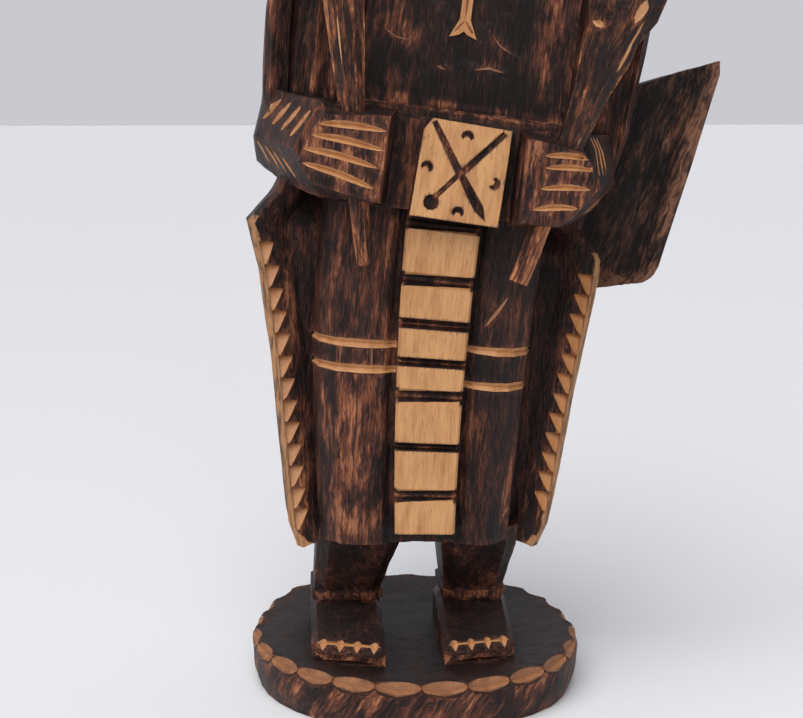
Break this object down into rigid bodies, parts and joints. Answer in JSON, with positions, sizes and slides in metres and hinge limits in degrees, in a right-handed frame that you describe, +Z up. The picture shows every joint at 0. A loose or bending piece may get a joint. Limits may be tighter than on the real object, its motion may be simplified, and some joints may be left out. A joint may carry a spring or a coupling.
{
  "type": "carved wooden warrior figure",
  "caption": "Standing wooden warrior carved with its round base from one log, in a saw-tooth-edged cape and banded apron, a club in each fist and a curved shield at the left elbow.",
  "frame": {"origin": "Middle of the round base's flat underside, on the surface that it stands on.", "axes": "+Z up. The figure faces -Y. +X is the figure's left, where the shield is. The log leans towards +X going up."},
  "size_m": [0.2371, 0.1769, 0.5053],
  "materials": {
    "figure_wood": "near-black brown stain worn to red-brown along the grain, with pale bare-wood chip cuts, satin varnish",
    "club_wood": "brown stain worn to orange-brown along the whittled edges, pale chip cuts, satin varnish",
    "shield_wood": "near-black brown stain with gouge marks, worn brown at the rim, satin varnish"
  },
  "bodies": {
    "root": {"figure": "figure_wood", "right_hand_club": "club_wood", "left_hand_club": "club_wood", "shield": "shield_wood"}
  },
  "joints": []
}
